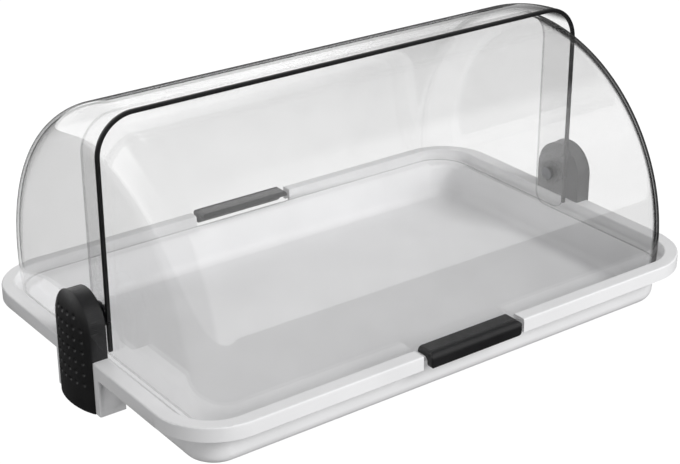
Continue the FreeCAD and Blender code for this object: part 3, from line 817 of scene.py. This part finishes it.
corners = [(x * FLOOR_HALF, y * FLOOR_HALF, 0) for x, y in ((-1, -1), (1, -1), (1, 1), (-1, 1))]
floor_mesh = bpy.data.meshes.new("light_table")
floor_mesh.from_pydata(corners, [], [(0, 1, 2, 3)])
floor_finish, floor_tree, floor_out = new_material("lit_acrylic_table")
floor_path = add_node(floor_tree, "ShaderNodeLightPath")
mirrored = ranged(floor_tree, floor_path.outputs["Is Glossy Ray"], 0.0, 1.0,
                  TABLE_TO_TRAY, TABLE_MIRRORED)
glow = ranged(floor_tree, floor_path.outputs["Is Camera Ray"], 0.0, 1.0, mirrored, TABLE_TO_CAMERA)
floor_skin = add_node(floor_tree, "ShaderNodeEmission", inputs={"Color": linear("#FFFFFF")},
                      links={"Strength": glow})
floor_tree.links.new(floor_skin.outputs["Emission"], floor_out.inputs["Surface"])
floor_mesh.materials.append(floor_finish)
floor = bpy.data.objects.new("light_table", floor_mesh)
bpy.context.scene.collection.objects.link(floor)

# %% Room: one look for reflections and a softer one for the tray, and the panel
WALL_TOP = math.sin(math.radians(50))
CEILING_FROM = math.sin(math.radians(63))
CEILING_MIRRORED = 0.30
ROUND_THE_ROOM = ((0.000, 1.05), (0.060, 1.05), (0.100, 0.45), (0.300, 0.55), (0.360, 1.50),
                  (0.592, 1.50), (0.625, 0.22), (0.765, 0.18), (0.795, 1.05), (1.000, 1.05))
WALLS_TO_TRAY = 0.78
CEILING_TO_TRAY = 0.28
PANEL_AT = (0.72, -2.1, 1.42)
PANEL_TOWARDS = (0, 0, 0.05)
PANEL_SIZE = (1.0, 0.7)
PANEL_WATTS = 46


def room():
    """World whose direction vector gives a turn about the bin, 0 to 1 from front by left, rear and
    right to front again, and a height. Bright walls follow the stops above, and then the ceiling."""
    world = bpy.data.worlds.new("bright_field_room")
    world.use_nodes = True
    tree = world.node_tree
    background = tree.nodes["Background"]
    way = add_node(tree, "ShaderNodeTexCoord").outputs["Generated"]
    axes = add_node(tree, "ShaderNodeSeparateXYZ", links={"Vector": way})
    angle = calculate(tree, "ARCTAN2", axes.outputs["X"], axes.outputs["Y"])
    turn = ranged(tree, angle, -math.pi, math.pi, 0.0, 1.0)
    walls = add_node(tree, "ShaderNodeValToRGB", links={"Fac": turn})
    stops = walls.color_ramp.elements
    while len(stops) < len(ROUND_THE_ROOM):
        stops.new(0.5)
    for stop, (where, level) in zip(stops, ROUND_THE_ROOM):
        stop.position = where
        stop.color = (level, level, level, 1)
    height = axes.outputs["Z"]
    mirrored_room = ranged(tree, height, WALL_TOP, CEILING_FROM, walls.outputs["Color"],
                           CEILING_MIRRORED, smooth=True)
    soft_room = ranged(tree, height, 0.0, 1.0, WALLS_TO_TRAY, CEILING_TO_TRAY)
    glossy = add_node(tree, "ShaderNodeLightPath").outputs["Is Glossy Ray"]
    strength = ranged(tree, glossy, 0.0, 1.0, soft_room, mirrored_room)
    background.inputs["Color"].default_value = linear("#FFFFFF")
    tree.links.new(strength, background.inputs["Strength"])
    return world


bpy.context.scene.world = room()
bpy.context.scene.view_settings.view_transform = "Standard"


def light_panel(name):
    """Rectangular soft light that faces the bin and leaves no image of its own in the covers."""
    lamp = bpy.data.lights.new(name, "AREA")
    lamp.shape = "RECTANGLE"
    lamp.size, lamp.size_y = PANEL_SIZE
    lamp.energy = PANEL_WATTS
    panel = bpy.data.objects.new(name, lamp)
    panel.location = PANEL_AT
    facing = Vector(PANEL_TOWARDS) - Vector(PANEL_AT)
    panel.rotation_euler = facing.to_track_quat("-Z", "Y").to_euler()
    panel.visible_glossy = False
    bpy.context.scene.collection.objects.link(panel)


light_panel("front_panel")
print("stage ready")
